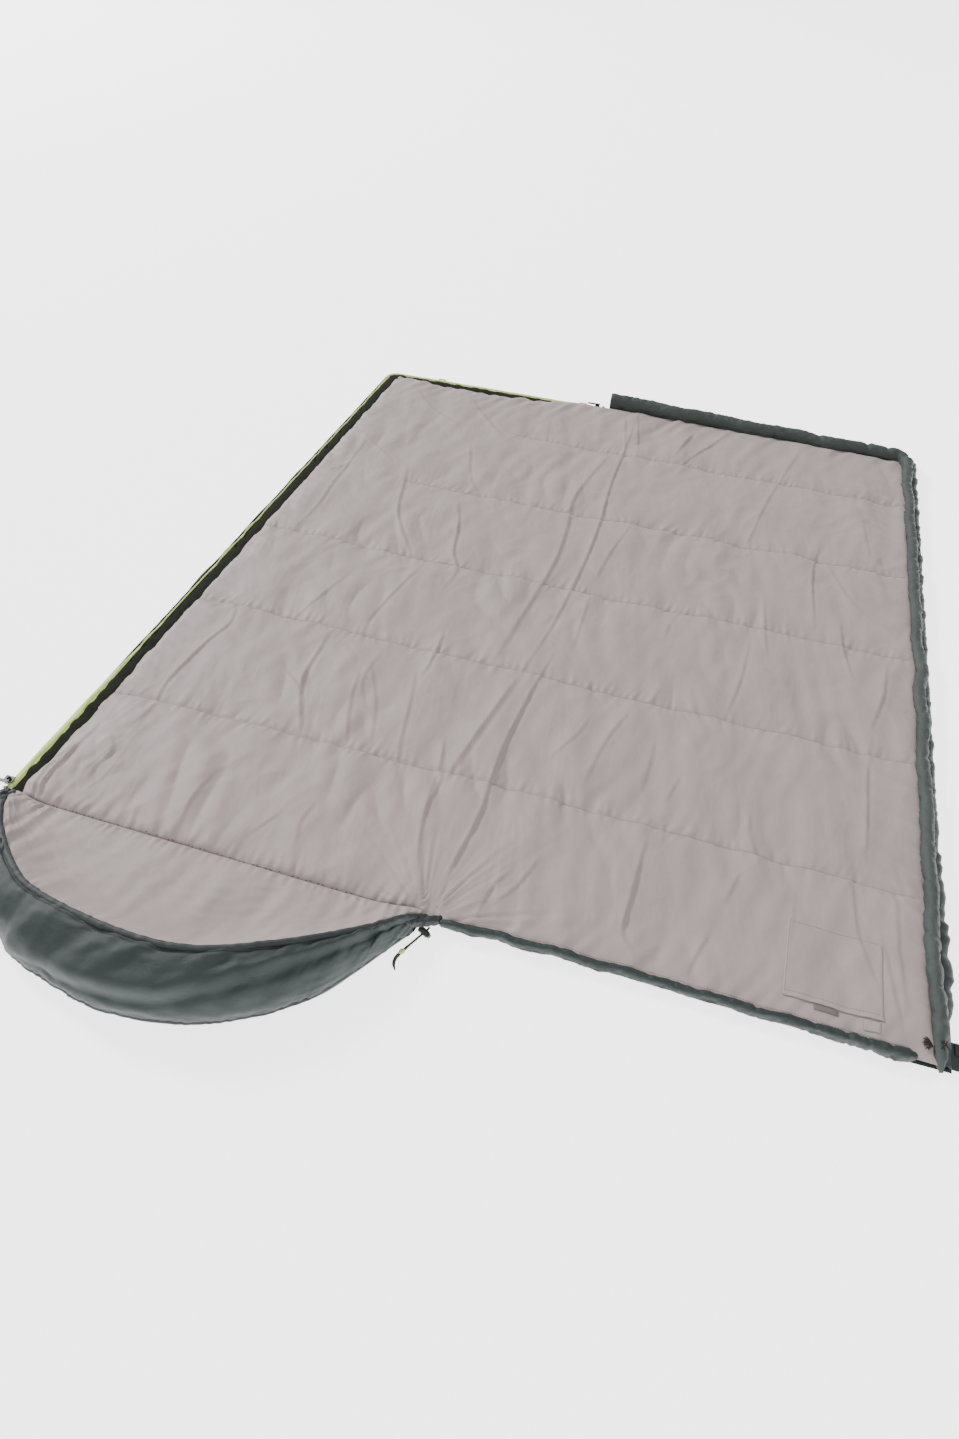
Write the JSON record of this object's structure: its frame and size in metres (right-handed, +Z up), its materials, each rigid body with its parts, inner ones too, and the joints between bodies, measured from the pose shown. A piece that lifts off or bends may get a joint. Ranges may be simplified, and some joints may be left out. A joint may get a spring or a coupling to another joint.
{
  "type": "camp quilt",
  "caption": "Hooded rectangular quilted bag opened out flat as a camp quilt, with fold, zip, hood drawcord, draft tube, pocket and closure tab.",
  "frame": {"origin": "on the ground under the middle of the outline", "axes": "+Y from the hood end to the foot, +Z up through the thickness, +X towards the half with the draft tube"},
  "size_m": [1.8325, 2.365, 0.1123],
  "materials": {
    "lining": "taupe thin woven polyester",
    "shell": "slate green woven polyester",
    "filling": "white hollow fibre",
    "zip_tape": "dark olive woven tape",
    "coil_lime": "lime nylon coil",
    "coil_dark": "dark nylon coil",
    "moulded_dark": "dark moulded plastic",
    "slider_metal": "dark enamelled die-cast",
    "spring_steel": "bright spring wire",
    "cord": "braided olive cord with lime fleck",
    "webbing": "lime flat webbing",
    "hook_tape": "charcoal hook tape",
    "tab": "slate webbing"
  },
  "bodies": {
    "lower_half": {"lower_shell": "shell", "lower_insulation": "filling", "lower_lining": "lining", "lower_anti_snag_strip": "zip_tape", "lower_zip_tape": "zip_tape", "lower_zip_coil": "coil_lime", "lower_zip_top_stop": "moulded_dark", "zip_retainer_box": "moulded_dark", "closure_loop_patch": "hook_tape"},
    "upper_half": {"upper_shell": "shell", "upper_insulation": "filling", "upper_lining": "lining", "upper_zip_tape": "zip_tape", "upper_zip_coil": "coil_dark", "zip_insertion_pin": "moulded_dark", "draft_tube_cover": "shell", "draft_tube_filling": "filling", "top_edge_binding": "shell", "pocket_hook_patch": "hook_tape"},
    "hood": {"hood_shell": "shell", "hood_insulation": "filling", "hood_lining": "lining", "hood_rim_channel": "shell", "hood_drawcord": "cord", "drawcord_free": "cord", "drawcord_bead": "coil_lime", "drawcord_tail": "cord"},
    "cord_lock": {"cord_lock_barrel": "moulded_dark", "cord_lock_spring": "spring_steel"},
    "cord_lock_button": {"cord_lock_button": "moulded_dark"},
    "side_slider": {"side_slider": "slider_metal"},
    "side_pull": {"side_pull": "moulded_dark"},
    "foot_slider": {"foot_slider": "slider_metal"},
    "foot_pull": {"foot_pull": "moulded_dark"},
    "hang_loop_corner": {"hang_loop_corner": "webbing"},
    "hang_loop_middle": {"hang_loop_middle": "webbing"},
    "pocket_panel": {"pocket_panel": "lining"},
    "closure_tab": {"closure_tab": "tab", "closure_hook_patch": "hook_tape"}
  },
  "joints": [
    {"name": "half_fold", "type": "hinge", "parent": "lower_half", "child": "upper_half", "pos_m": [-0.01875, 0.1515, 0.041], "axis": [0, -1, 0], "range_deg": [0, 179]},
    {"name": "hood_raise", "type": "hinge", "parent": "lower_half", "child": "hood", "pos_m": [-0.44375, -0.8545, 0.041], "axis": [-1, 0, 0], "range_deg": [0, 75]},
    {"name": "side_slider_travel", "type": "slide", "parent": "lower_half", "child": "side_slider", "axis": [0, 1, 0], "range_m": [0, 1.876]},
    {"name": "side_pull_flip", "type": "hinge", "parent": "side_slider", "child": "side_pull", "pos_m": [-0.8862, -0.8235, 0.015], "axis": [-1, 0, 0], "range_deg": [0, 150]},
    {"name": "foot_slider_travel", "type": "slide", "parent": "lower_half", "child": "foot_slider", "axis": [-1, 0, 0], "range_m": [0, 0.64]},
    {"name": "foot_pull_flip", "type": "hinge", "parent": "foot_slider", "child": "foot_pull", "pos_m": [-0.1527, 1.16, 0.015], "axis": [0, 1, 0], "range_deg": [0, 150]},
    {"name": "hang_loop_corner_flip", "type": "hinge", "parent": "lower_half", "child": "hang_loop_corner", "pos_m": [-0.69875, 1.1585, 0.0009], "axis": [1, 0, 0], "range_deg": [0, 70]},
    {"name": "hang_loop_middle_flip", "type": "hinge", "parent": "lower_half", "child": "hang_loop_middle", "pos_m": [-0.20375, 1.1585, 0.0009], "axis": [1, 0, 0], "range_deg": [0, 70]},
    {"name": "pocket_open", "type": "hinge", "parent": "upper_half", "child": "pocket_panel", "pos_m": [0.65975, -0.6645, 0.03113], "axis": [1, 0, 0], "range_deg": [-25, 0]},
    {"name": "closure_tab_flip", "type": "hinge", "parent": "upper_half", "child": "closure_tab", "pos_m": [0.84875, -0.8245, 0.0045], "axis": [0, -1, 0], "range_deg": [0, 65]},
    {"name": "cord_lock_travel", "type": "slide", "parent": "hood", "child": "cord_lock", "axis": [-0.45, -0.893, 0], "range_m": [0, 0.028]},
    {"name": "cord_lock_press", "type": "slide", "parent": "cord_lock", "child": "cord_lock_button", "axis": [-0.893, 0.45, 0], "range_m": [0, 0.0026], "stiffness_N_per_m": 600, "springref_m": -0.002, "deforming": ["cord_lock_spring"]}
  ]
}
